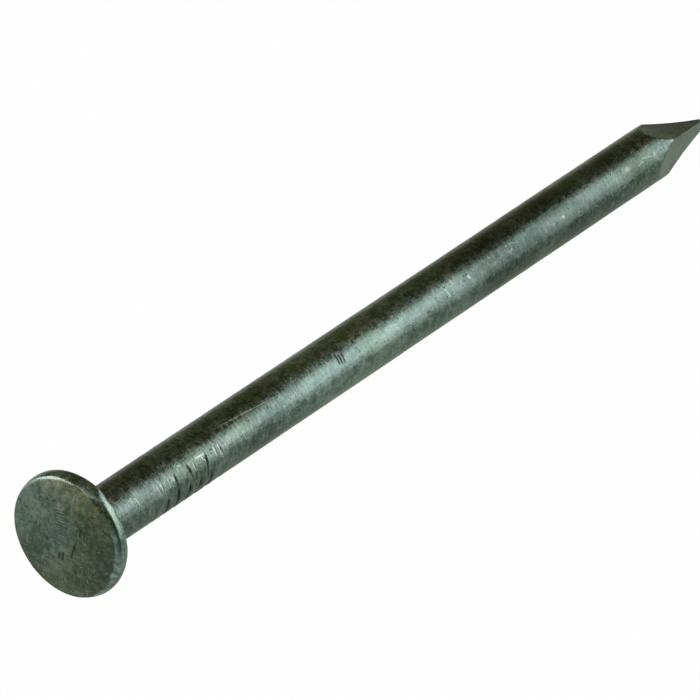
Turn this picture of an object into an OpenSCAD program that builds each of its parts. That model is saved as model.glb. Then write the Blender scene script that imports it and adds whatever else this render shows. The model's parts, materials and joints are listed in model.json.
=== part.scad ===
// Rail spike for model track: a headed, cut-to-point piece of steel wire.
// It lies along +X with its point at the far end. The origin is the middle of the head's
// underside, on the axis of the wire. All sizes are in millimetres.

/* [Wire] */
// Diameter of the wire
wire_d = 0.71; // [0.5:0.01:1.2]
// Length under the head, from its underside to the tip
shank_l = 12.55; // [8:0.05:20]

/* [Head] */
// Diameter of the head where its rim bulges most
head_d = 1.58; // [1.4:0.02:2.4]
// Thickness of the head in the middle
head_t = 0.21; // [0.14:0.01:0.4]
// How far the rim bulges out beyond the edge of the struck face
rim_bulge = 0.03; // [0.01:0.005:0.05]
// Where the rim is widest, as a share of its height above the underside
rim_wide_at = 0.35; // [0.3:0.05:0.6]
// Height of the struck face's shallow crown
crown_h = 0.025; // [0.01:0.005:0.05]
// Diameter of the flat in the middle of the struck face
face_flat_d = 0.60; // [0.3:0.05:0.8]
// Radius that breaks the edge between the struck face and the rim
face_edge_r = 0.035; // [0.01:0.005:0.05]
// Sideways offset of the head from the axis of the wire
head_off_y = 0.040; // [-0.06:0.002:0.06]
// Upward offset of the head from the axis of the wire
head_off_z = 0.020; // [-0.06:0.002:0.06]
// Fillet where the wire runs into the head
neck_r = 0.05; // [0.02:0.01:0.1]

/* [Grip marks] */
// Number of marks that the gripping dies leave on each side
grip_count = 6; // [0:1:10]
// Distance from the head's underside to the first mark
grip_start = 1.01; // [0.4:0.01:2]
// Distance from one mark to the next
grip_pitch = 0.21; // [0.16:0.01:0.5]
// Depth of a mark in the middle of its side
grip_depth = 0.022; // [0.01:0.002:0.05]
// Angle from the middle of the side at which a mark runs out
grip_reach = 52; // [30:2:70]
// Angle between the two flanks of a mark
grip_flank = 84; // [60:4:120]

/* [Point] */
// Length of the point, from where the facets on its two sides begin to the tip
point_l = 1.39; // [0.9:0.01:2.4]
// How much further back the facet underneath begins, and how much further on the one on top
low_facet_extra = 0.105; // [0:0.005:0.2]
// Radius of the shallow hollow along each facet
hollow_r = 13; // [8:0.5:40]
// Length of the short edge that the tip ends in
tip_edge_l = 0.155; // [0.04:0.005:0.2]
// Thickness of that edge
tip_edge_w = 0.045; // [0.02:0.005:0.06]
// Sideways offset of the tip from the axis of the wire
tip_off_y = -0.018; // [-0.1:0.002:0.1]
// Upward offset of the tip from the axis of the wire
tip_off_z = -0.080; // [-0.1:0.002:0.1]

/* [Hidden] */
$fn = 96;

wire_r = wire_d / 2;
head_r = head_d / 2;
eps = 0.01;

// The crown is part of a large sphere, cut flat in the middle.
head_edge_r = head_r - rim_bulge;
crown_r = (pow(head_edge_r, 2) + pow(crown_h, 2)) / (2 * crown_h);
crown_flat_h = crown_r - sqrt(pow(crown_r, 2) - pow(face_flat_d / 2, 2));
crown_c = [0, crown_r - head_t - crown_flat_h];

// The rim is one arc from the edge of the struck face through its widest place.
rim_h = head_t + crown_flat_h - crown_h;
rim_front_h = rim_h * (1 - rim_wide_at);
rim_arc_r = (pow(rim_front_h, 2) + pow(rim_bulge, 2)) / (2 * rim_bulge);
rim_c = [head_r - rim_arc_r, rim_front_h - rim_h];

// The broken edge is a small circle that touches the rim's arc and the crown from inside.
edge_c = meeting_point(rim_c, rim_arc_r - face_edge_r, crown_c, crown_r - face_edge_r);
edge_to_rim = face_edge_r * (edge_c - rim_c) / norm(edge_c - rim_c);
edge_to_crown = face_edge_r * (edge_c - crown_c) / norm(edge_c - crown_c);

// The circle that a mark follows is set off from the wire, so that the mark fades to nothing.
grip_off = grip_depth / (1 - cos(grip_reach));
grip_ring_r = wire_r + grip_off - grip_depth;
grip_h = 2 * grip_depth;

// Facets in order round the wire: the side each one faces, where it begins, and how far
// from the axis it lies at the tip.
tip_half_l = tip_edge_l / 2;
tip_half_w = tip_edge_w / 2;
facets = [
    [0, point_l - low_facet_extra, tip_half_l + tip_off_z],
    [90, point_l, tip_half_w - tip_off_y],
    [180, point_l + low_facet_extra, tip_half_l - tip_off_z],
    [270, point_l, tip_half_w + tip_off_y]
];
facet_w = 4 * wire_d;

// Turns a solid of revolution about Z so that its axis lies along the wire, pointing away
// from the struck face.
module along_wire() {
    rotate([0, 90, 0]) children();
}

// Where two circles meet, on the side away from the axis of the head.
function meeting_point(c1, r1, c2, r2) =
    let (
        span = c2 - c1,
        away = norm(span),
        along = (r1 * r1 - r2 * r2 + away * away) / (2 * away),
        aside = sqrt(r1 * r1 - along * along)
    )
    c1 + (along * span + aside * [span[1], -span[0]]) / away;

// What the broken edge takes off: the corner outside its circle.
module edge_waste() {
    difference() {
        polygon([
            edge_c,
            edge_c + edge_to_rim,
            edge_c + edge_to_rim + edge_to_crown,
            edge_c + edge_to_crown
        ]);
        translate(edge_c) circle(face_edge_r);
    }
}

// Half outline of the head, struck face down: its barrel rim and its crown.
module head_outline() {
    difference() {
        intersection() {
            translate([0, -head_t]) square([head_r, head_t]);
            translate(crown_c) circle(crown_r, $fn = 720);
            union() {
                translate([0, -head_t]) square([rim_c[0], head_t]);
                translate(rim_c) circle(rim_arc_r);
            }
        }
        edge_waste();
    }
}

module head() {
    translate([0, head_off_y, head_off_z]) along_wire() rotate_extrude() head_outline();
}

module neck() {
    along_wire() rotate_extrude() difference() {
        translate([0, -eps]) square([wire_r + neck_r, neck_r + eps]);
        translate([wire_r + neck_r, neck_r]) circle(neck_r);
    }
}

module wire() {
    translate([-head_t / 2, 0, 0]) along_wire() cylinder(h = shank_l + head_t / 2, r = wire_r);
}

// One mark: a V groove round a circle that leaves the wire at grip_reach to each side.
module grip_mark() {
    open_w = grip_h * tan(grip_flank / 2);
    along_wire() rotate_extrude() polygon([
        [grip_ring_r, 0],
        [grip_ring_r + grip_h, -open_w],
        [grip_ring_r + grip_h, open_w]
    ]);
}

module grip_marks() {
    for (side = [-1, 1], i = [0 : 1 : grip_count - 1])
        translate([grip_start + i * grip_pitch, -side * grip_off, 0]) grip_mark();
}

// Cuts one facet, facing up: a drum whose surface passes through the facet's start on the
// wire and its end at the tip.
module facet_cut(length, tip_h) {
    rise = wire_r - tip_h;
    chord = sqrt(pow(length, 2) + pow(rise, 2));
    lean = atan2(rise, length);
    drum_h = sqrt(pow(hollow_r, 2) - pow(chord / 2, 2));
    translate([shank_l - length / 2, 0, (wire_r + tip_h) / 2])
        rotate([0, lean, 0])
            translate([0, 0, drum_h])
                rotate([90, 0, 0])
                    cylinder(h = facet_w, r = hollow_r, center = true, $fn = 720);
}

module point_cuts() {
    for (f = facets) rotate([f[0], 0, 0]) facet_cut(f[1], f[2]);
}

module spike() {
    color([0.24, 0.28, 0.26]) union() {
        head();
        difference() {
            union() {
                wire();
                neck();
            }
            grip_marks();
            point_cuts();
        }
    }
}

spike();
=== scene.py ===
import json
import math

import bpy
import numpy as np
from mathutils import Matrix, Vector, noise


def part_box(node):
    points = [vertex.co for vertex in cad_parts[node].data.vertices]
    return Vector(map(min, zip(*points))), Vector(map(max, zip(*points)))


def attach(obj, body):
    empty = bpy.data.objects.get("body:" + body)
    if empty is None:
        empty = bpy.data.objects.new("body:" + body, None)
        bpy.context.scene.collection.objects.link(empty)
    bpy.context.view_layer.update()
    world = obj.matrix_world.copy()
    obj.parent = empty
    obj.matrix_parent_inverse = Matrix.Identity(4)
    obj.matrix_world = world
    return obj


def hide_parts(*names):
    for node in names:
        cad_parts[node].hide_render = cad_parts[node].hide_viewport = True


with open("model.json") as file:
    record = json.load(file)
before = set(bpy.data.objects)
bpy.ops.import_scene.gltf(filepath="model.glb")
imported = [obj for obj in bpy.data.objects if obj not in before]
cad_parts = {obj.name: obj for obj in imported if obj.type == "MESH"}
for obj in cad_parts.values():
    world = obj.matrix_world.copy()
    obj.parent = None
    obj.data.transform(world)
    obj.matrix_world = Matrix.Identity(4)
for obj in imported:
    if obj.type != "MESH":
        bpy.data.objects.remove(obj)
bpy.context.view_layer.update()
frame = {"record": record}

mm = 0.001  # shapes are worked out in millimetres and scaled once, when the mesh is made

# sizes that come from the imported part
record = frame["record"]
boxLow, boxHigh = [np.array(corner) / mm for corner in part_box("spike")]
shankMount = next(mount for mount in record["mounts"] if mount["name"] == "shank")
wireR = shankMount["dims"]["r_mm"]
shankLength = boxHigh[0]
headThickness = -boxLow[0]
headMiddle = (boxLow[1:] + boxHigh[1:]) / 2
headR = min(boxHigh[1:] - boxLow[1:]) / 2
print("sizes read: wire", round(2 * wireR, 3), "under the head", round(shankLength, 3))

around = 168  # columns round the wire
angles = np.arange(around) * 2 * math.pi / around  # from +Y towards +Z


def sideGap(angle, side):
    # how far an angle is from a side, up to half a turn either way
    return (angle - side + math.pi) % (2 * math.pi) - math.pi


def smooth(low, high, value):
    t = np.clip((value - low) / (high - low), 0, 1)
    return t * t * (3 - 2 * t)


def zone(value, first, full, fade, last):
    # rises from nothing at first to one at full, and falls again from fade to last
    return smooth(first, full, value) * smooth(last, fade, value)


def towards(side, spread):
    # one on that side of the head, in degrees, and nothing beyond the spread
    return smooth(1, 0, np.abs(sideGap(angles, math.radians(side))) / math.radians(spread))


# the head: crowned face, edge that is crisp on one side and worn on the other, barrel rim, neck.
# Lengths are in millimetres and angles in degrees
headShape = {
    "rimBulge": 0.030,
    "rimWideAt": 0.37,       # share of the rim's height, from the underside
    "rimWideBack": 0.18,     # on top
    "rimWideFront": 0.48,    # and on the worn side
    "backSide": 122, "backSpread": 52,
    "backFade": 108, "backTo": 126,
    "wornSide": 197, "wornSpread": 75,
    "litSide": 62, "litSpread": 62,
    "wornIn": 0.012,         # how much nearer to the middle the worn side lies
    "crownHeight": 0.025,
    "flatR": 0.30,
    "crispEdge": 0.011,      # radius of the edge of the face, and on its lit and worn sides
    "litEdge": 0.060,
    "wornEdge": 0.075,
    "cutBack": 0.055,        # a blow has driven the edge back on one side
    "cutZone": (104, 122, 188, 224),
    "cutStartX": -0.138,
    "cutCurve": 1.3,
    "cutBulge": 0.012,       # the rim stands up straighter behind it
    "cutWideAt": 0.57,
    "bulgeFade": 150, "bulgeTo": 170,
    "neckFillet": 0.05,
    "underRound": 0.018,     # the rear edge of the rim
    "faceRows": 58,
    "edgeRows": 8,
    "rimRows": 18,
    "roundRows": 5,
    "underRows": 10,
    "neckRows": 6,
}


def headRows(shape):
    # rows of points from the middle of the face to the end of the neck
    edgeR = headR - shape["rimBulge"]
    crownR = (edgeR ** 2 + shape["crownHeight"] ** 2) / (2 * shape["crownHeight"])
    flatDrop = crownR - math.sqrt(crownR ** 2 - shape["flatR"] ** 2)
    crownX = crownR - headThickness - flatDrop
    rimHeight = headThickness + flatDrop - shape["crownHeight"]

    # how the rim differs round the head
    degrees = np.degrees(angles) % 360
    worn, lit, top = [towards(shape[side + "Side"], shape[side + "Spread"])
                      for side in ("worn", "lit", "back")]
    top *= smooth(shape["backTo"], shape["backFade"], degrees)
    cut = zone(degrees, *shape["cutZone"])
    behindCut = cut * smooth(shape["bulgeTo"], shape["bulgeFade"], degrees)
    wideAt = shape["rimWideAt"] + (shape["rimWideBack"] - shape["rimWideAt"]) * top
    wideAt += (shape["rimWideFront"] - shape["rimWideAt"]) * worn
    wideAt += (shape["cutWideAt"] - wideAt) * behindCut
    bulge = shape["rimBulge"] + (shape["cutBulge"] - shape["rimBulge"]) * behindCut
    rimX = -rimHeight * wideAt
    frontHeight = rimHeight + rimX
    rimR = (frontHeight ** 2 + bulge ** 2) / (2 * bulge)
    rimMiddle = headR - rimR - shape["wornIn"] * worn
    rimFront = np.arcsin(frontHeight / rimR)
    fillet = shape["crispEdge"] + (shape["wornEdge"] - shape["crispEdge"]) * worn
    fillet += (shape["litEdge"] - shape["crispEdge"]) * lit

    # the fillet touches the crown and the rim from inside, and its middle is found by halving
    searchRoom, halvings = 0.3, 40
    low, high = np.zeros(around), rimFront + searchRoom
    for _ in range(halvings):
        lean = (low + high) / 2
        filletX = rimX - (rimR - fillet) * np.sin(lean)
        filletMiddle = rimMiddle + (rimR - fillet) * np.cos(lean)
        outside = np.hypot(filletX - crownX, filletMiddle) > crownR - fillet
        high, low = np.where(outside, lean, high), np.where(outside, low, lean)
    faceLean = np.arctan2(crownX - filletX, filletMiddle)

    rows = []  # each is x, radius and how far the row follows the head's own middle
    for t in np.linspace(0, 1, shape["faceRows"] + 1)[1:-1]:
        radius = crownR * np.cos(faceLean) * t
        crown = crownX - np.sqrt(crownR ** 2 - radius ** 2)
        rows.append((np.maximum(crown, -headThickness), radius, 1.0))
    for t in np.linspace(0, 1, shape["edgeRows"]):
        turn = faceLean + (lean - faceLean) * t
        rows.append((filletX - fillet * np.sin(turn), filletMiddle + fillet * np.cos(turn), 1.0))
    underRound = shape["underRound"]
    rimEnd = np.arcsin((rimX + underRound) / rimR)
    for t in np.linspace(0, 1, shape["rimRows"] + 1)[1:]:
        turn = lean + (rimEnd - lean) * t
        rows.append((rimX - rimR * np.sin(turn), rimMiddle + rimR * np.cos(turn), 1.0))
    underR = rimMiddle + (rimR - underRound) * np.cos(rimEnd)
    for t in np.linspace(0, 1, shape["roundRows"])[1:]:
        turn = rimEnd + (-math.pi / 2 - rimEnd) * t
        x = -underRound * (1 - np.sin(rimEnd) + np.sin(turn))
        rows.append((x, underR + underRound * np.cos(turn), 1.0))
    neckR = wireR + shape["neckFillet"]
    for t in np.linspace(0, 1, shape["underRows"]):
        rows.append((0 * angles, underR + (neckR - underR) * t, 1 - t))
    for t in np.linspace(0, math.pi / 2, shape["neckRows"])[1:]:
        x = shape["neckFillet"] * (1 - math.cos(t))
        rows.append((x + 0 * angles, neckR - shape["neckFillet"] * math.sin(t) + 0 * angles, 0.0))

    points = []
    cutDepth = (shape["cutBack"] + shape["rimBulge"] - bulge) * cut
    for x, radius, onHead in rows:
        back = np.clip((shape["cutStartX"] - x) / (shape["cutStartX"] + rimHeight), 0, 1)
        radius = radius * (1 - cutDepth * back ** shape["cutCurve"] / edgeR)
        y = radius * np.cos(angles) + headMiddle[0] * onHead
        z = radius * np.sin(angles) + headMiddle[1] * onHead
        points.append(np.stack([x, y, z], 1))
    return points


# rows along the shank, closer together where there are marks: first, last and step
shankRows = [(0.055, 0.84, 0.034), (0.84, 2.42, 0.0125), (2.42, 4.52, 0.05), (4.52, 4.84, 0.012),
             (4.84, 6.74, 0.052), (6.74, 6.86, 0.02), (6.86, 7.16, 0.052), (7.16, 7.30, 0.02),
             (7.30, 9.08, 0.052), (9.08, 9.26, 0.02), (9.26, 20, 0.052)]


def shankPoints(end):
    stations = []
    for first, last, step in shankRows:
        last = min(last, end)
        if last > first:
            count = max(1, round((last - first) / step))
            stations += list(np.linspace(first, last, count, endpoint=False))
    y, z = wireR * np.cos(angles), wireR * np.sin(angles)
    return [np.stack([x + 0 * angles, y, z], 1) for x in stations]


# the cut point: four hollow facets whose dies met a little off the wire's axis
pointShape = {
    "sideLength": 1.39,
    "lowExtra": 0.105,       # the facet underneath is this much longer, and the one on top shorter
    "hollowR": 13.0,
    "edgeLength": 0.155,     # the short edge that the tip ends in
    "edgeWidth": 0.045,
    "tipY": -0.018,
    "tipZ": -0.080,
    "ridgeSharpness": 50,    # higher is sharper
    "creaseSharpness": 100,
    "tipRound": 0.040,
    "thinTip": 1.2,          # the round is less where the tip is thinner than this many rounds
    "sideBared": 0.17,       # the cut has left less of the skin on the two sides
    "zone": 1.65,            # rows begin to follow the facets this far from the tip
    "shankGap": 0.02,
    "crowd": 0.72,           # how much the columns are drawn together towards the ridges
    "crowdFull": 1.0,        # this far from the tip and nearer
    "approachRows": 20,
    "approachCurve": 0.75,
    "facetRows": 66,
    "facetCurve": 1.5,
    "evenShare": 0.35,
    "tipRows": 8,
}
# facets in the order +Y, +Z, -Y, -Z: length, then distance from the axis at the tip
tipHalfHigh, tipHalfWide = pointShape["edgeLength"] / 2, pointShape["edgeWidth"] / 2
facets = np.array([
    [pointShape["sideLength"], tipHalfWide + pointShape["tipY"]],
    [pointShape["sideLength"] - pointShape["lowExtra"], tipHalfHigh + pointShape["tipZ"]],
    [pointShape["sideLength"], tipHalfWide - pointShape["tipY"]],
    [pointShape["sideLength"] + pointShape["lowExtra"], tipHalfHigh - pointShape["tipZ"]],
])


def facetDrum(number):
    # middle of the drum that a facet's shallow hollow is part of
    length, tip = facets[number]
    rise = wireR - tip
    chord = math.hypot(length, rise)
    depth = math.sqrt(pointShape["hollowR"] ** 2 - (chord / 2) ** 2)
    return shankLength - length / 2 + depth * rise / chord, (wireR + tip) / 2 + depth * length / chord


drums = [facetDrum(number) for number in range(4)]


def facetReach(number, x):
    # how far from the axis a facet lies at x
    drumX, drumZ = drums[number]
    return drumZ - np.sqrt(pointShape["hollowR"] ** 2 - (x - drumX) ** 2)


def softMin(a, b, sharpness):
    return (a ** -sharpness + b ** -sharpness) ** (-1 / sharpness)


def pointSection(x, turn):
    # y and z of the section at x; turn counts quarter turns, and the ridges lie at the halves
    reach = [facetReach(number, x) for number in range(4)]
    halfY, halfZ = (reach[0] + reach[2]) / 2, (reach[1] + reach[3]) / 2
    midY, midZ = (reach[0] - reach[2]) / 2, (reach[1] - reach[3]) / 2
    crowdStart, crowdFull = shankLength - pointShape["zone"], shankLength - pointShape["crowdFull"]
    crowd = pointShape["crowd"] * smooth(crowdStart, crowdFull, x)
    corner = np.arctan2(halfZ, halfY)
    facet = np.floor(turn + 0.5)
    within = (turn + 0.5) % 1
    within = within - crowd * np.sin(2 * math.pi * within) / (2 * math.pi)
    span = np.where(facet % 2 == 1, math.pi - 2 * corner, 2 * corner)
    angle = facet * math.pi / 2 + (within - 0.5) * span
    c, s = np.cos(angle), np.sin(angle)
    tiny = 1e-4
    flat = softMin(halfY / np.maximum(np.abs(c), tiny), halfZ / np.maximum(np.abs(s), tiny),
                   pointShape["ridgeSharpness"])
    along = midY * c + midZ * s
    disc = -along + np.sqrt(along ** 2 + wireR ** 2 - midY ** 2 - midZ ** 2)
    radius = softMin(flat, disc, pointShape["creaseSharpness"])
    return midY + radius * c, midZ + radius * s


def creaseStations(turn):
    # where each column leaves the round wire and runs onto its facet, found by trying again
    facet = np.floor(turn + 0.5).astype(int) % 4
    drumX = np.array([drums[number][0] for number in facet])
    drumZ = np.array([drums[number][1] for number in facet])
    firstTry, tries = 1.2, 12
    x = np.full(len(turn), shankLength - firstTry)
    for _ in range(tries):
        y, z = pointSection(x, turn)
        gap = sideGap(np.arctan2(z, y), facet * math.pi / 2)
        found = drumX - np.sqrt(pointShape["hollowR"] ** 2 - (drumZ - wireR * np.cos(gap)) ** 2)
        x = (x + found) / 2
    return x


def pointRows(shape):
    turn = angles / (math.pi / 2)
    crease = creaseStations(turn)
    start = shankLength - shape["zone"]
    last = shankLength - shape["tipRound"]
    even = shape["evenShare"]
    stations = [start + (crease - start) * t ** shape["approachCurve"]
                for t in np.linspace(0, 1, shape["approachRows"])]
    stations += [crease + (last - crease) * (even * t + (1 - even) * t ** shape["facetCurve"])
                 for t in np.linspace(0, 1, shape["facetRows"])[1:]]
    points = []
    for x in stations:
        y, z = pointSection(x, turn)
        points.append(np.stack([x, y, z], 1))
    y, z = points[-1][:, 1], points[-1][:, 2]
    midY, midZ = y.mean(), z.mean()
    out = np.hypot(y - midY, z - midZ)
    fit = np.minimum(1, out / (shape["thinTip"] * shape["tipRound"]))
    for t in np.linspace(0, math.pi / 2, shape["tipRows"])[1:]:
        keep = 1 - shape["tipRound"] * (1 - math.cos(t)) * fit / out
        x = last + shape["tipRound"] * math.sin(t)
        points.append(np.stack([x + 0 * y, midY + (y - midY) * keep, midZ + (z - midZ) * keep], 1))
    return points, (shankLength, midY, midZ)


# marks of the gripping dies: place, lean, first and last angle, strength, half width.
# The far side mirrors them, a little weaker
gripMarks = {
    "depth": 0.022,
    "burr": 0.004,
    "burrAt": 1.7, "burrWide": 0.6,          # in half widths
    "fade": 9,                               # degrees over which a mark's ends run out
    "dirtShadeFrom": 0.1, "dirtShadeFull": 0.6,        # shares of the depth
    "farShift": 0.03,
    "farStrength": 0.9,
    "list": [
        (1.01, 0.00, 170, 222, 0.45, 0.034), (1.245, -0.03, 172, 226, 0.90, 0.040),
        (1.425, 0.01, 136, 164, 0.55, 0.013), (1.435, -0.02, 165, 222, 1.0, 0.040),
        (1.715, 0.06, 131, 162, 0.50, 0.013), (1.655, -0.06, 172, 224, 1.0, 0.038),
        (1.985, -0.02, 137, 180, 0.85, 0.013), (1.865, -0.05, 172, 224, 1.0, 0.040),
        (2.07, -0.03, 168, 222, 1.0, 0.040), (2.27, 0.04, 190, 224, 0.35, 0.030),
    ],
}


def gripRelief(x, angle):
    # depth of the grooves, and how dark their floors are: partly dirt, partly painted shade
    depth, dirtAndShade = np.zeros_like(x), np.zeros_like(x)
    runOut = gripMarks["fade"]
    for mirrored in (False, True):
        degrees = np.degrees(angle) % 360
        if mirrored:
            degrees = (540 - degrees) % 360  # the same height on the other side
        for place, lean, first, last, strength, halfWidth in gripMarks["list"]:
            if mirrored:
                place, strength = place + gripMarks["farShift"], strength * gripMarks["farStrength"]
            middle = place + lean * np.radians(degrees - 180)
            fade = zone(degrees, first - runOut, first + runOut, last - runOut, last + runOut)
            away = np.abs(x - middle) / halfWidth
            groove = np.clip(1 - away, 0, 1) * fade * strength
            burr = np.exp(-((away - gripMarks["burrAt"]) / gripMarks["burrWide"]) ** 2)
            depth += gripMarks["depth"] * groove
            depth -= gripMarks["burr"] * fade * strength * burr
            # dirt and painted shade darken the groove floors
            dirtAndShade = np.maximum(dirtAndShade, smooth(gripMarks["dirtShadeFrom"], gripMarks["dirtShadeFull"], groove))
    return depth, dirtAndShade


# nicks: place along and round the wire in degrees (on the face its y and z), length, width, depth,
# direction in degrees, and how dark the nick is, or how bright where the number is negative
wireNicks = [
    (4.63, 125, 0.16, 0.011, 0.007, 97, 0.9), (4.675, 128, 0.15, 0.011, 0.007, 97, 0.8),
    (4.725, 129, 0.15, 0.010, 0.006, 98, 0.8), (2.18, 141, 0.12, 0.011, 0.005, 90, -0.9),
    (2.265, 144, 0.15, 0.011, 0.006, 86, -1.0), (1.17, 141, 0.09, 0.010, 0.004, 90, -0.7),
    (1.11, 145, 0.15, 0.011, 0.004, 86, -0.5), (1.385, 140, 0.06, 0.010, 0.004, 88, -0.7),
    (1.78, 143, 0.12, 0.012, 0.004, 88, -0.5), (1.57, 127, 0.07, 0.010, 0.003, 10, -0.6),
    (1.93, 133, 0.19, 0.011, 0.003, 4, -0.7), (7.235, 134, 0.055, 0.013, 0.004, 62, -0.8),
    (6.79, 137, 0.13, 0.011, 0.003, 84, -0.45), (9.17, 139, 0.045, 0.020, 0.002, 60, -0.45),
    (7.81, 130, 0.06, 0.035, 0.003, 30, 0.5), (10.575, 131, 0.07, 0.045, 0.001, 80, -0.32),
    # the bright spot at 11.55 is a painted highlight, a glint where a ridge of the point begins
    (11.13, 136, 0.05, 0.030, 0.001, 20, -0.32), (11.55, 131, 0.05, 0.030, 0.001, 20, -1.0),
]
faceNicks = [
    (0.092, -0.252, 0.105, 0.016, 0.008, 96, 1.0), (0.042, -0.235, 0.145, 0.018, 0.009, 92, 1.0),
    (-0.166, 0.196, 0.135, 0.010, 0.007, 98, 0.9), (-0.096, -0.090, 0.235, 0.013, 0.008, 100, 1.0),
    (-0.130, 0.060, 0.130, 0.009, 0.005, 102, 0.6), (0.41, -0.02, 0.14, 0.012, 0.003, 88, 0.5),
    (0.355, 0.42, 0.045, 0.017, 0.004, 60, 0.8), (0.235, 0.46, 0.040, 0.015, 0.003, 100, 0.6),
    (0.285, -0.10, 0.050, 0.015, 0.004, 80, 0.7), (-0.30, -0.42, 0.10, 0.012, 0.003, 40, 0.3),
    (-0.02, -0.47, 0.13, 0.010, 0.003, 10, 0.3),
]


def nickRelief(u, v, nicks):
    depth, tone = np.zeros_like(u), np.zeros_like(u)
    fullLength = 1.15  # keeps a nick at its full depth nearly to its ends
    for nickU, nickV, length, width, deep, direction, dark in nicks:
        c, s = math.cos(math.radians(direction)), math.sin(math.radians(direction))
        along = (u - nickU) * c + (v - nickV) * s
        across = (v - nickV) * c - (u - nickU) * s
        shape = np.exp(-(across / width) ** 2) * np.clip(fullLength - (2 * along / length) ** 4, 0, 1)
        depth += deep * shape
        tone += dark * shape
    return depth, tone


def roughNoise(points, stretch, offset):
    # two octaves of noise over points stretched by the given amounts; the offset picks another part
    share, finer, shift = 0.45, 2.3, 11.0
    values = np.empty(len(points))
    for number, place in enumerate(points * np.array(stretch) + offset):
        values[number] = noise.noise(Vector(place)) + share * noise.noise(Vector(place * finer + shift))
    return values


# where the edge of the face is painted bright: its upper-left stretch is a painted highlight, partly wear,
# and the speckles low on the worn side and the faint spots elsewhere are wear. Zones in degrees round the
# head, and slopes as the normal's x
edgeWearAndHighlight = {
    "highlightZone": (14, 38, 100, 124), "highlightTone": 0.86, "highlightNoise": (-0.9, 0.1),
    "speckZone": (166, 186, 230, 270), "speckTone": 0.6, "speckNoise": (0.1, 0.5),
    "elsewhere": 0.12, "elsewhereNoise": (0.0, 0.4),
    "slopes": (-0.97, -0.90, -0.62, -0.50),
    "grain": (14, 14, 14),
}
# and the crease between the driven-back edge and the rim, darkened with painted shade
crease = {"zone": (90, 114, 156, 180), "slopes": (-0.88, -0.78, -0.36, -0.14), "depth": 0.002, "tone": 0.85}


def creaseShadeShare(angle, normalX):
    return zone(np.degrees(angle) % 360, *crease["zone"]) * zone(normalX, *crease["slopes"])


def wearAndHighlightTone(place, angle, normalX):
    degrees = np.degrees(angle) % 360
    rough = roughNoise(place, edgeWearAndHighlight["grain"], 3.0)
    # painted highlight along the upper-left edge of the face, partly wear
    tone = edgeWearAndHighlight["highlightTone"] * zone(degrees, *edgeWearAndHighlight["highlightZone"]) * smooth(*edgeWearAndHighlight["highlightNoise"], rough)
    speckled = zone(degrees, *edgeWearAndHighlight["speckZone"]) * smooth(*edgeWearAndHighlight["speckNoise"], rough)
    tone = np.maximum(tone, edgeWearAndHighlight["speckTone"] * speckled)
    tone = np.maximum(tone, edgeWearAndHighlight["elsewhere"] * smooth(*edgeWearAndHighlight["elsewhereNoise"], rough))
    return tone * zone(normalX, *edgeWearAndHighlight["slopes"])


# slow waves on the head and the wire, drawing lines and shallow dents: depths, and how each one
# is stretched
unevenness = {
    "head": 0.0022, "wire": 0.0014, "lines": 0.0006, "dents": 0.0022,
    "waveStretch": (0.9, 3.2, 3.2),
    "lineStretch": (0.35, 8.5, 8.5),
    "dentStretch": (2.6, 4.5, 4.5),
    "dentsFrom": 0.35,
    "highest": 0.002,        # nothing stands up further than this
    "tipFade": (0.12, 0.3),  # and the tip stays plain
}
# how the face, the round wire and the facets are told apart
surfaces = {
    "faceSlope": -0.96,      # the face is where the normal's x is below this
    "roundWithin": 0.004,    # the wire counts as round down to this depth
    "facetFrom": 0.002, "facetFull": 0.012,
    "sideSlopes": (0.75, 0.92),
    "dirtShadeGrain": (9, 9, 9), "dirtShadeNoise": (-0.8, 0.1),
}


def ringNormals(grid):
    # outward normals, from each point's neighbours along and round the wire
    tiny = 1e-12
    acrossRows = np.gradient(grid, axis=0)
    acrossColumns = np.roll(grid, -1, 1) - np.roll(grid, 1, 1)
    normal = np.cross(acrossColumns, acrossRows)
    return (normal / np.maximum(np.linalg.norm(normal, axis=2, keepdims=True), tiny)).reshape(-1, 3)


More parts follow.
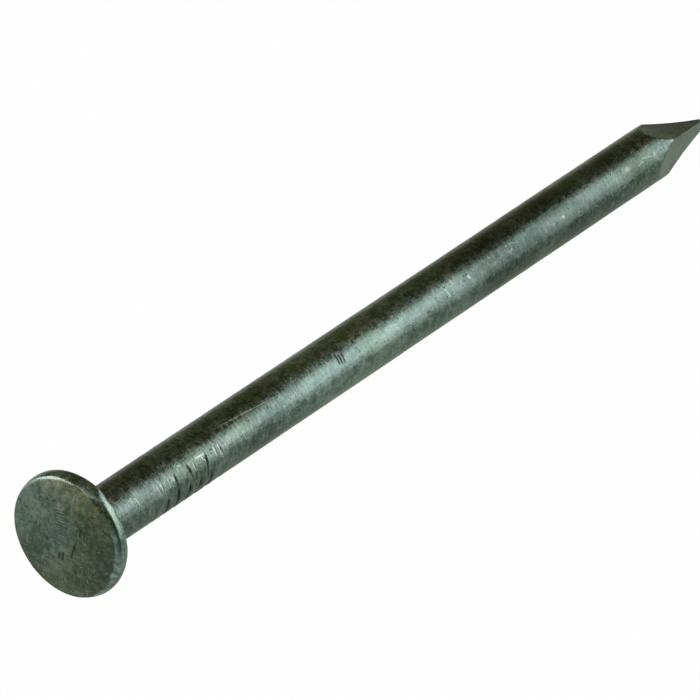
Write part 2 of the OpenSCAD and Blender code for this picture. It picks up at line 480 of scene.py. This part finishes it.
def marksAndWear(place, normal, onHead):
    # how far each point sinks below the plain shape, and its tone: dirt and painted shade in the marks
    # above zero, bared steel and painted highlight below it
    x, y, z = place.T
    angle = np.arctan2(z, y)
    depthIn = wireR - np.hypot(y, z)
    onFace = onHead & (normal[:, 0] < surfaces["faceSlope"])
    onWire = ~onHead & (x > headShape["neckFillet"])
    onRound = onWire & (depthIn < surfaces["roundWithin"])

    gripDepth, gripDirtAndShade = gripRelief(x, angle)
    # the dark of the grip marks, partly dirt and partly painted shade, is broken up in places
    gripDirtAndShade *= smooth(*surfaces["dirtShadeNoise"], roughNoise(place, surfaces["dirtShadeGrain"], 21.0))
    roundWire = wireR * (angle % (2 * math.pi))
    nicks = [(nick[0], wireR * math.radians(nick[1]), *nick[2:]) for nick in wireNicks]
    wireDepth, wireTone = nickRelief(x, roundWire, nicks)
    faceDepth, faceTone = nickRelief(y, z, faceNicks)
    sink = np.where(onWire, gripDepth + wireDepth, 0) + np.where(onFace, faceDepth, 0)
    tone = np.where(onWire, gripDirtAndShade + wireTone, 0) + np.where(onFace, faceTone, 0)

    # painted shade darkens the crease behind the driven-back edge of the face
    creaseShaded = np.where(onHead, creaseShadeShare(angle, normal[:, 0]), 0)
    sink += crease["depth"] * creaseShaded
    tone += crease["tone"] * creaseShaded - np.where(onHead, wearAndHighlightTone(place, angle, normal[:, 0]), 0)
    inFacet = smooth(surfaces["facetFrom"], surfaces["facetFull"], depthIn)
    inFacet *= x > shankLength - pointShape["zone"]
    tone -= pointShape["sideBared"] * inFacet * smooth(*surfaces["sideSlopes"], np.abs(normal[:, 1]))

    wave = roughNoise(place, unevenness["waveStretch"], 4.0)
    lines = roughNoise(place, unevenness["lineStretch"], 31.0)
    dents = roughNoise(place, unevenness["dentStretch"], 57.0)
    dents = np.clip(dents - unevenness["dentsFrom"], 0, 1)
    sink += np.where(onHead, unevenness["head"], unevenness["wire"]) * wave
    sink += np.where(onRound, unevenness["lines"], 0) * lines + unevenness["dents"] * dents
    sink = np.maximum(sink, -unevenness["highest"])
    plain, full = unevenness["tipFade"]
    return sink * smooth(shankLength - plain, shankLength - full, x), tone


def buildSpike():
    head = headRows(headShape)
    point, tipMiddle = pointRows(pointShape)
    shank = shankPoints(shankLength - pointShape["zone"] - pointShape["shankGap"])
    grid = np.array(head + shank + point)
    rowCount = len(grid)
    headCount = len(head) - headShape["neckRows"] - headShape["underRows"] + 1
    onHead = np.repeat(np.arange(rowCount) < headCount, around)

    place, normal = grid.reshape(-1, 3), ringNormals(grid)
    sink, tone = marksAndWear(place, normal, onHead)
    moved = place - normal * sink[:, None]
    moved = np.clip(moved, boxLow, boxHigh)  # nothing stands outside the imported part

    faceMiddle = (-headThickness, headMiddle[0], headMiddle[1])
    verts = np.vstack([moved, [faceMiddle], [tipMiddle]]) * mm
    index = np.arange(rowCount * around).reshape(rowCount, around)
    beside = np.roll(index, -1, 1)
    faces = np.stack([index[:-1], index[1:], beside[1:], beside[:-1]], 2).reshape(-1, 4).tolist()
    faceFan, tipFan = rowCount * around, rowCount * around + 1
    faces += [[faceFan, int(a), int(b)] for a, b in zip(index[0], beside[0])]
    faces += [[tipFan, int(b), int(a)] for a, b in zip(index[-1], beside[-1])]

    mesh = bpy.data.meshes.new("railSpike")
    mesh.from_pydata(verts.tolist(), [], faces)
    layer = mesh.attributes.new("markTone", "FLOAT", "POINT")
    layer.data.foreach_set("value", np.append(np.clip(tone, -1, 1), [0, 0]).astype(np.float32))
    mesh.shade_smooth()
    piece = bpy.data.objects.new("railSpike", mesh)
    bpy.context.collection.objects.link(piece)
    print("spike built:", len(verts), "points in", rowCount, "rows,", 2 * rowCount * around, "triangles")
    return piece


class NodeMaker:
    # short calls for making and linking nodes
    perRow, stepX, stepY = 12, 180, 260

    def __init__(self, tree):
        tree.nodes.clear()
        self.tree = tree
        self.count = 0

    def add(self, kind, settings=None, **inputs):
        # an input goes by its name, or by "in" and its number
        node = self.tree.nodes.new(kind)
        node.location = (self.count % self.perRow * self.stepX, -(self.count // self.perRow) * self.stepY)
        self.count += 1
        for key, value in (settings or {}).items():
            setattr(node, key, value)
        for key, value in inputs.items():
            number = key[2:]
            self.put(node.inputs[int(number) if number.isdigit() else key.replace("_", " ")], value)
        return node

    def put(self, socket, value):
        if isinstance(value, bpy.types.NodeSocket):
            self.tree.links.new(value, socket)
        else:
            socket.default_value = value

    def math(self, operation, a, b=0.0, clamp=False, c=0.0):
        settings = {"operation": operation, "use_clamp": clamp}
        return self.add("ShaderNodeMath", settings, in0=a, in1=b, in2=c).outputs[0]

    def times(self, a, b, clamp=False):
        return self.math("MULTIPLY", a, b, clamp)

    def blend(self, shares):
        # weighted sum of several values
        total = 0.0
        for share, value in shares:
            total = self.math("ADD", self.times(value, share), total)
        return total

    def blendLayers(self, layers, shares):
        return self.blend([(share, layers[name]) for name, share in shares.items()])

    def noise(self, place, scale, detail, roughness):
        node = self.add("ShaderNodeTexNoise", None, Vector=place, Scale=scale, Detail=detail,
                        Roughness=roughness)
        return node.outputs[0]

    def stretch(self, place, scale, turn=(0, 0, 0), shift=(0, 0, 0)):
        node = self.add("ShaderNodeMapping", None, Vector=place, Scale=scale, Rotation=turn,
                        Location=shift)
        return node.outputs[0]

    def pattern(self, place, stretch, scale, detail, roughness, turn=(0, 0, 0), shift=(0, 0, 0)):
        return self.noise(self.stretch(place, stretch, turn, shift), scale, detail, roughness)

    def ramp(self, value, low, high, toLow=0.0, toHigh=1.0):
        node = self.add("ShaderNodeMapRange", {"interpolation_type": "SMOOTHSTEP"}, Value=value,
                        From_Min=low, From_Max=high, To_Min=toLow, To_Max=toHigh)
        return node.outputs[0]

    def colour(self, factor, a, b, blend="MIX"):
        node = self.add("ShaderNodeMix", {"data_type": "RGBA", "blend_type": blend}, in0=factor,
                        in6=a, in7=b)
        return node.outputs[2]

    def tint(self, factor, colour, by):
        return self.colour(factor, colour, by, "MULTIPLY")

    def strokes(self, place, spec):
        # short scratches: one straight stroke in some of the cells of a scatter of points
        cells = self.add("ShaderNodeTexVoronoi", {"voronoi_dimensions": "2D"}, Vector=place,
                         Scale=spec["perMm"])
        local = self.add("ShaderNodeVectorMath", {"operation": "SUBTRACT"}, in0=place,
                         in1=cells.outputs["Position"]).outputs[0]
        chance = self.add("ShaderNodeSeparateColor", None, in0=cells.outputs["Color"]).outputs
        lean = self.ramp(chance[0], 0, 1, spec["from"], spec["to"])
        turned = self.add("ShaderNodeVectorRotate", {"rotation_type": "Z_AXIS"}, Vector=local,
                          Angle=lean).outputs[0]
        axes = self.add("ShaderNodeSeparateXYZ", None, in0=turned).outputs
        along, across = [self.math("ABSOLUTE", axis) for axis in axes[:2]]
        core, body, faint = 0.3, 0.6, 0.6  # where the stroke is full: across, along and by chance
        thin = self.ramp(across, spec["width"], spec["width"] * core)
        short = self.ramp(along, spec["length"], spec["length"] * body)
        kept = self.ramp(chance[1], 1 - spec["share"], 1 - spec["share"] * faint)
        return self.times(self.times(thin, short), kept)


def fillRamp(ramp, stops):
    # sets a colour ramp's stops from pairs of place and brightness
    ramp.interpolation = "EASE"
    for place, brightness in stops[1:-1]:
        ramp.elements.new(place / stops[-1][0])
    for element, (place, brightness) in zip(ramp.elements, stops):
        element.color = (brightness, brightness, brightness, 1)


steelLook = {
    "skin": (0.050, 0.079, 0.067, 1),        # reflectance of the blackened skin where it is thick
    "skinPale": (0.130, 0.184, 0.158, 1),    # and where handling has thinned it
    "faceTone": (1.45, 1.43, 1.41, 1),       # the hammer has rubbed the face paler
    "faceStainAndShade": (0.66, 0.60, 0.50, 1),      # and it is darker and browner towards its near side: partly a stain, partly painted shade
    "faceTopLight": (2.05, 1.76, 1.46, 1),        # painted light: palest and warmest at the top, where the face mirrors floor out of the head's shadow
    # painted shade: darker at the bottom, where the face mirrors the head's shadow on the floor
    "faceLowShade": (0.84, 0.80, 0.72, 1),
    "rimTone": (1.68, 1.76, 1.80, 1),        # the rim is rubbed paler too
    "oily": (0.92, 0.95, 0.80, 1),
    "bareSteelAndHighlight": (0.40, 0.46, 0.43, 1),           # steel that shows in scratches and on worn edges, and painted highlight on the face's upper-left edge and near the tip
    # dark for pits, dirt and dark nicks, and painted shade in the crease and the grip marks
    "dirtAndShade": (0.012, 0.014, 0.011, 1),
    "edgeTint": (0.74, 0.78, 0.70, 1),
    "faceEdgeX": -0.178,                     # the face lies in front of this
    # tone of the skin along the wire: place, then brightness
    "along": [(0.0, 0.92), (3.3, 0.98), (4.3, 1.42), (5.4, 1.29), (6.7, 1.30), (7.7, 0.80), (9.1, 0.75),
              (9.9, 0.86), (10.6, 0.90), (11.2, 1.06), (12.0, 1.10)],
    # painted shade, and a little painted light, on the side of the wire that faces up
    "upperSideShade": [(0.0, 0.98), (1.0, 0.92), (2.0, 0.96), (3.2, 1.02), (3.9, 1.00), (4.5, 1.09),
                  (5.2, 1.01), (6.1, 0.93), (6.8, 0.74), (7.5, 0.68), (8.3, 0.79), (9.6, 0.91),
                  (10.3, 0.80), (11.2, 0.74), (12.0, 0.82)],
    "upperMix": (0.784, 0.621, 0.30),        # y and z of where that side faces, and how spotted it is
    "shadeMix": (-0.9, 0.45, 0.9),           # the same for the face's darker, browner side
    "heightMottle": 0.5,
    "topLean": -0.15,
    # noise over the whole spike: stretch, scale, detail and roughness, then turn and shift
    "patterns": {
        "drawn": ((0.45, 25, 25), 1.0, 3, 0.6),
        "blotch": ((0.5, 1, 1), 2.4, 3, 0.6),
        "mottle": ((0.8, 1, 1), 11, 3, 0.65),
        "grain": ((0.8, 1, 1), 38, 2, 0.6),
        "stain": ((0.6, 1, 1), 1.6, 2, 0.5, (0, 0, 0), (3.1, 0.4, 1.7)),
    },
    "pitting": (21, 1, 0.5),                 # scale, detail and roughness
    # and noise over the unrolled skin
    "hatching": {
        "hatchOne": ((30, 6, 1), 1.0, 2, 0.55, (0, 0, 0.38)),
        "hatchTwo": ((26, 6, 1), 1.0, 2, 0.55, (0, 0, -0.45), (7, 3, 0)),
    },
    # shares of the patterns in each effect
    "thin": {"mottle": 0.30, "blotch": 0.28, "grain": 0.26, "drawn": 0.06, "hatchOne": 0.10},
    "dull": {"grain": 0.35, "mottle": 0.45, "drawn": 0.20},
    "relief": {"grain": 0.06, "mottle": 0.38, "lines": 0.65, "blotch": 2.2, "pits": -0.4,
               "scratch": -0.22, "hatch": -0.07},
    "reliefMm": 0.0046,
    "linesOn": (0.32, 0.10),                 # strength of the drawing lines on the wire and the face
    "rough": (0.22, 0.40),
    "dirtAndShadeRough": 0.25,
    # where each effect begins and where it is full
    "ranges": {
        "pits": (0.30, 0.25), "patches": (0.42, 0.60), "hatchOne": (0.52, 0.66), "hatchTwo": (0.54, 0.68),
        "thin": (0.42, 0.60), "oily": (0.50, 0.68), "faceStainAndShade": (0.25, 1.05), "faceTopLight": (0.66, 1.14),
        "faceLowShade": (0.25, -0.40), "rim": (0.03, -0.01), "upperSideShade": (-0.30, -0.04), "dull": (0.41, 0.59),
        "broken": (0.36, 0.50),
    },
    # how strongly each one shows
    "amounts": {"hatch": 0.10, "scratch": 0.50, "baredAndHighlight": 0.75, "pits": 0.55, "dirtAndShade": 0.85, "fine": 0.6,
                "loose": 0.95, "combLight": 0.30, "combDark": 0.45, "longScratch": 0.85},
    # one long light scratch runs on slowly round the wire, from start to end
    "longScratch": {"start": 2.30, "end": 3.56, "runOut": 0.3, "side": 0.088, "slope": 0.078,
                    "width": 0.007, "core": 0.3, "wander": 0.03, "middle": 0.015, "rough": 0.30},
    "comb": {"y": 0.14, "z": 0.28, "lean": 0.45, "wide": 0.065, "high": 0.11, "pitch": 0.038,
             "slant": 0.12},
    "onFace": 0.3,                           # share of the cross scratches that the face has
    "hatchZone": (2.7, 4.2),                 # they are thickest up to the first, and few past the second
    "hatchFew": 0.35,
    "crossStrokes": {"perMm": 5.0, "from": 0.95, "to": 2.15, "width": 0.010, "length": 0.065, "share": 0.7},
    "fineStrokes": {"perMm": 3.2, "from": -0.28, "to": 0.20, "width": 0.006, "length": 0.13, "share": 0.35},
    "looseStrokes": {"perMm": 9.0, "from": -1.6, "to": 1.6, "width": 0.006, "length": 0.028, "share": 0.35},
}


def skinColour(n, look, axes, onFace, layers):
    # the blackened skin without its scratches, with painted light and shade on the face and on the wire's
    # upper side
    ranges = look["ranges"]
    colour = n.colour(n.ramp(n.blendLayers(layers, look["thin"]), *ranges["thin"]), look["skin"],
                      look["skinPale"])
    colour = n.tint(n.ramp(layers["stain"], *ranges["oily"]), colour, look["oily"])
    sideways, upwards, spotted = look["shadeMix"]
    shaded = n.blend([(sideways / headR, axes[1]), (upwards / headR, axes[2]), (spotted, layers["blotch"])])
    # partly a stain, partly painted shade on the face's near side
    colour = n.tint(n.times(n.ramp(shaded, *ranges["faceStainAndShade"]), onFace), colour, look["faceStainAndShade"])
    colour = n.tint(onFace, colour, look["faceTone"])
    # painted light at the top of the face and painted shade at its bottom
    height = n.blend([(1 / headR, axes[2]), (look["heightMottle"], layers["mottle"])])
    paintedTopLight = n.ramp(n.blend([(1.0, height), (look["topLean"] / headR, axes[1])]), *ranges["faceTopLight"])
    colour = n.tint(n.times(paintedTopLight, onFace), colour, look["faceTopLight"])
    colour = n.tint(n.times(n.ramp(height, *ranges["faceLowShade"]), onFace), colour, look["faceLowShade"])
    onRim = n.times(n.ramp(axes[0], *ranges["rim"]), n.math("SUBTRACT", 1.0, onFace))
    colour = n.tint(onRim, colour, look["rimTone"])

    tones = {}
    for side in ("along", "upperSideShade"):
        tones[side] = n.add("ShaderNodeValToRGB", None, Fac=n.math("DIVIDE", axes[0], look[side][-1][0]))
        fillRamp(tones[side].color_ramp, look[side])
    colour = n.tint(1.0, colour, tones["along"].outputs[0])
    # painted shade and light on the wire's upper side, along its length
    facingY, facingZ, spotted = look["upperMix"]
    aside = n.blend([(facingY / wireR, axes[1]), (facingZ / wireR, axes[2]), (spotted, layers["blotch"])])
    return n.tint(n.ramp(aside, *ranges["upperSideShade"]), colour, tones["upperSideShade"].outputs[0])


def combLines(n, comb, axes, onFace):
    # a small comb of fine lines on the face
    lineY = n.math("MULTIPLY_ADD", axes[2], comb["lean"], c=comb["y"] - comb["lean"] * comb["z"])
    combY = n.math("ABSOLUTE", n.math("SUBTRACT", axes[1], lineY))
    combZ = n.math("ABSOLUTE", n.math("SUBTRACT", axes[2], comb["z"]))
    coreWide, coreHigh = 0.7, 0.8  # share of the comb in which its lines are full
    near = n.times(n.ramp(combY, comb["wide"], comb["wide"] * coreWide),
                   n.ramp(combZ, comb["high"], comb["high"] * coreHigh))
    across = n.blend([(1.0, axes[2]), (comb["slant"], axes[1])])
    wave = n.math("SINE", n.times(across, 2 * math.pi / comb["pitch"]))
    return n.times(n.times(near, onFace), wave)


def longScratch(n, long, axes, rolled, layers, broken):
    # wanders a little from its straight line, and breaks off here and there
    wander = n.blend([(1.0, rolled), (-long["slope"], axes[0]), (long["wander"], layers["drawn"])])
    middle = long["side"] - long["slope"] * long["start"] + long["middle"]
    offLine = n.math("ABSOLUTE", n.math("SUBTRACT", wander, middle))
    inside = n.times(n.ramp(axes[0], long["start"], long["start"] + long["runOut"]),
                     n.ramp(axes[0], long["end"], long["end"] - long["runOut"]))
    inside = n.times(inside, n.ramp(layers["grain"], *broken))
    return n.times(n.ramp(offLine, long["width"], long["width"] * long["core"]), inside)


def blackenedSteel(look):
    material = bpy.data.materials.new("blackenedSteel")
    material.use_nodes = True
    n = NodeMaker(material.node_tree)
    ranges, amounts = look["ranges"], look["amounts"]
    place = n.stretch(n.add("ShaderNodeTexCoord").outputs["Object"], (1 / mm, 1 / mm, 1 / mm))
    axes = n.add("ShaderNodeSeparateXYZ", None, in0=place).outputs

    # the wire's skin unrolled flat, and the face as it is
    turn = n.math("ARCTAN2", n.times(axes[1], -1), axes[2])
    rolled = n.times(turn, wireR)
    unrolled = n.add("ShaderNodeCombineXYZ", None, in0=axes[0], in1=rolled).outputs[0]
    facing = n.add("ShaderNodeCombineXYZ", None, in0=axes[2], in1=axes[1]).outputs[0]
    onFace = n.math("LESS_THAN", axes[0], look["faceEdgeX"])
    flat = n.add("ShaderNodeMix", {"data_type": "VECTOR"}, in0=onFace, in4=unrolled, in5=facing).outputs[1]

    layers = {name: n.pattern(place, *spec) for name, spec in look["patterns"].items()}
    layers.update({name: n.pattern(flat, *spec) for name, spec in look["hatching"].items()})
    pits = n.ramp(n.noise(place, *look["pitting"]), *ranges["pits"])

    # scratches from handling
    patches = n.ramp(layers["blotch"], *ranges["patches"])
    handled = n.ramp(axes[0], *look["hatchZone"], 1.0, look["hatchFew"])
    handled = n.times(handled, n.ramp(onFace, 0, 1, 1.0, look["onFace"]))
    hatch = n.math("ADD", *[n.ramp(layers[name], *ranges[name]) for name in look["hatching"]])
    hatch = n.times(hatch, handled)
    cross = n.times(n.strokes(flat, look["crossStrokes"]), n.times(patches, handled))
    fine = n.times(n.strokes(flat, look["fineStrokes"]), amounts["fine"])
    loose = n.times(n.strokes(flat, look["looseStrokes"]), amounts["loose"])
    scratch = n.math("MAXIMUM", n.math("MAXIMUM", cross, fine), loose)
    line = longScratch(n, look["longScratch"], axes, rolled, layers, ranges["broken"])
    tone = n.add("ShaderNodeAttribute", {"attribute_name": "markTone"}).outputs["Fac"]
    baredAndHighlight = n.times(tone, -1, True)
    dirtAndPaintedShade = n.times(tone, amounts["dirtAndShade"], True)

    colour = skinColour(n, look, axes, onFace, layers)
    colour = n.colour(n.times(hatch, amounts["hatch"]), colour, look["bareSteelAndHighlight"])
    colour = n.colour(n.times(scratch, amounts["scratch"]), colour, look["bareSteelAndHighlight"])
    # bared steel, and painted highlight on the face's upper-left edge and a glint near the tip
    colour = n.colour(n.times(baredAndHighlight, amounts["baredAndHighlight"]), colour, look["bareSteelAndHighlight"])
    # dark pits and dirt, and painted shade in the crease and the grip marks
    colour = n.colour(n.math("MAXIMUM", n.times(pits, amounts["pits"]), dirtAndPaintedShade), colour, look["dirtAndShade"])
    combed = combLines(n, look["comb"], axes, onFace)
    colour = n.colour(n.times(combed, amounts["combLight"], True), colour, look["bareSteelAndHighlight"])
    colour = n.colour(n.times(combed, -amounts["combDark"], True), colour, look["dirtAndShade"])
    colour = n.colour(n.times(line, amounts["longScratch"]), colour, look["bareSteelAndHighlight"])

    rough = n.ramp(n.blendLayers(layers, look["dull"]), *ranges["dull"], *look["rough"])
    rough = n.math("ADD", rough, n.times(dirtAndPaintedShade, look["dirtAndShadeRough"]))
    rough = n.math("ADD", rough, n.times(line, look["longScratch"]["rough"]))

    lines = n.times(layers["drawn"], n.ramp(onFace, 0, 1, *look["linesOn"]))
    layers.update(lines=lines, pits=pits, scratch=scratch, hatch=hatch)
    relief = n.blendLayers(layers, look["relief"])
    bump = n.add("ShaderNodeBump", None, Height=relief, Strength=1.0,
                 Distance=look["reliefMm"] * mm).outputs[0]

    shader = n.add("ShaderNodeBsdfPrincipled", None, Base_Color=colour, Roughness=rough, Normal=bump)
    shader.inputs["Metallic"].default_value = 1.0
    shader.inputs["Specular Tint"].default_value = look["edgeTint"]
    n.add("ShaderNodeOutputMaterial", None, Surface=shader.outputs[0])
    return material


spike = buildSpike()
spike.data.materials.append(blackenedSteel(steelLook))
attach(spike, "root")
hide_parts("spike")
print("finish applied")

# the spike lies on the rim of its head and the heel of its point, so the floor leans a little
table = {
    "radius": 90,
    "corners": 96,
    "rimX": -0.10,
    "heelX": 11.1,
    "paper": 0.86,
    "cameraGlow": 0.985,     # share of plain white that the camera sees
    "glossyGlow": 0.41,      # and the share that shows in reflections
}


def buildFloor():
    slope = -(boxLow[2] + wireR) / (table["heelX"] - table["rimX"])
    bpy.ops.mesh.primitive_circle_add(vertices=table["corners"], radius=table["radius"] * mm,
                                      fill_type="NGON")
    floor = bpy.context.object
    floor.name = "floor"
    floor.rotation_euler = (0, -math.atan(slope), 0)
    floor.location = (0, 0, (boxLow[2] - slope * table["rimX"]) * mm)

    material = bpy.data.materials.new("whitePaper")
    material.use_nodes = True
    n = NodeMaker(material.node_tree)
    rays = n.add("ShaderNodeLightPath").outputs
    mirrored = n.math("MAXIMUM", rays["Is Glossy Ray"], rays["Is Transmission Ray"])
    share = n.math("MAXIMUM", n.times(rays["Is Camera Ray"], table["cameraGlow"]),
                   n.times(mirrored, table["glossyGlow"]))
    matt = n.add("ShaderNodeBsdfDiffuse", None, Color=(table["paper"], table["paper"], table["paper"], 1))
    glow = n.add("ShaderNodeEmission", None, Color=(1, 1, 1, 1), Strength=1.0)
    mixed = n.add("ShaderNodeMixShader", None, in0=share, in1=matt.outputs[0], in2=glow.outputs[0])
    n.add("ShaderNodeOutputMaterial", None, Surface=mixed.outputs[0])
    floor.data.materials.append(material)


buildFloor()

# side is counted in degrees from +X towards +Y, and sizes and distances are in millimetres
studio = {
    "keySoftbox": {"side": -30, "rise": 26.9, "away": 120, "width": 92, "height": 66, "radiance": 4.0,
                   "colour": (1.0, 0.96, 1.05)},
    "lowCard": {"side": -47, "rise": 4.6, "away": 75, "width": 60, "height": 11, "radiance": 2.35,
                "colour": (1.0, 1.0, 1.02)},
    "farWall": {"side": 42, "rise": 13, "away": 70, "width": 60, "height": 17, "radiance": 0.11,
                "colour": (1.0, 0.92, 0.92)},
    "backCard": {"side": 118, "rise": 20, "away": 70, "width": 58, "height": 46, "radiance": 2.6,
                 "colour": (0.97, 1.0, 1.03)},
    "overhead": {"side": 180, "rise": 66, "away": 70, "width": 52, "height": 52, "radiance": 2.0,
                 "colour": (1.0, 1.0, 1.0)},
}
studioMiddle = Vector((shankLength * 0.4 * mm, 0, 0))  # all lamps face this place on the shank
# dark warm walls, with a share of plain white in reflections
room = {"colour": (0.161, 0.108, 0.011), "glossyGlow": 0.07}


def areaLamp(name, spec):
    side, rise = math.radians(spec["side"]), math.radians(spec["rise"])
    outward = Vector((math.cos(side) * math.cos(rise), math.sin(side) * math.cos(rise), math.sin(rise)))
    lamp = bpy.data.lights.new(name, "AREA")
    lamp.shape = "RECTANGLE"
    lamp.size, lamp.size_y = spec["width"] * mm, spec["height"] * mm
    lamp.color = spec["colour"]
    lamp.energy = spec["radiance"] * math.pi * lamp.size * lamp.size_y
    holder = bpy.data.objects.new(name, lamp)
    bpy.context.collection.objects.link(holder)
    holder.location = studioMiddle + outward * spec["away"] * mm
    holder.visible_camera = False
    holder.rotation_euler = outward.to_track_quat("Z", "Y").to_euler()


for name, spec in studio.items():
    areaLamp(name, spec)


def buildRoom():
    world = bpy.data.worlds.new("studioRoom")
    bpy.context.scene.world = world
    world.use_nodes = True
    n = NodeMaker(world.node_tree)
    rays = n.add("ShaderNodeLightPath").outputs
    mirrored = n.math("MAXIMUM", rays["Is Glossy Ray"], rays["Is Transmission Ray"])
    share = n.math("MAXIMUM", rays["Is Camera Ray"], n.times(mirrored, room["glossyGlow"]))
    walls = n.add("ShaderNodeBackground", None, Color=(*room["colour"], 1), Strength=1.0)
    white = n.add("ShaderNodeBackground", None, Color=(1, 1, 1, 1), Strength=1.0)
    mixed = n.add("ShaderNodeMixShader", None, in0=share, in1=walls.outputs[0], in2=white.outputs[0])
    n.add("ShaderNodeOutputWorld", None, Surface=mixed.outputs[0])


buildRoom()
print("floor and lights set")

viewpoint = {"lookAt": (5.234, 0.021, 0.017), "away": 97.68, "azimuth": -57.25, "elevation": 34.31,
             "roll": 7.5, "lens": 421.3, "sensor": 36, "nearest": 1, "farthest": 2000}


def buildCamera():
    turn, rise = math.radians(viewpoint["azimuth"]), math.radians(viewpoint["elevation"])
    back = Vector((math.sin(turn) * math.cos(rise), -math.cos(turn) * math.cos(rise), math.sin(rise)))
    camera = bpy.data.cameras.new("camera")
    camera.lens = viewpoint["lens"]
    camera.sensor_width = viewpoint["sensor"]
    camera.clip_start, camera.clip_end = viewpoint["nearest"] * mm, viewpoint["farthest"] * mm
    holder = bpy.data.objects.new("camera", camera)
    bpy.context.collection.objects.link(holder)
    level = (-back).to_track_quat("-Z", "Y").to_matrix()
    rolled = Matrix.Rotation(math.radians(viewpoint["roll"]), 3, back) @ level
    place = (Vector(viewpoint["lookAt"]) + back * viewpoint["away"]) * mm
    holder.matrix_world = Matrix.Translation(place) @ rolled.to_4x4()
    bpy.context.scene.camera = holder


buildCamera()
bpy.context.scene.view_settings.view_transform = "Standard"

print("ready")
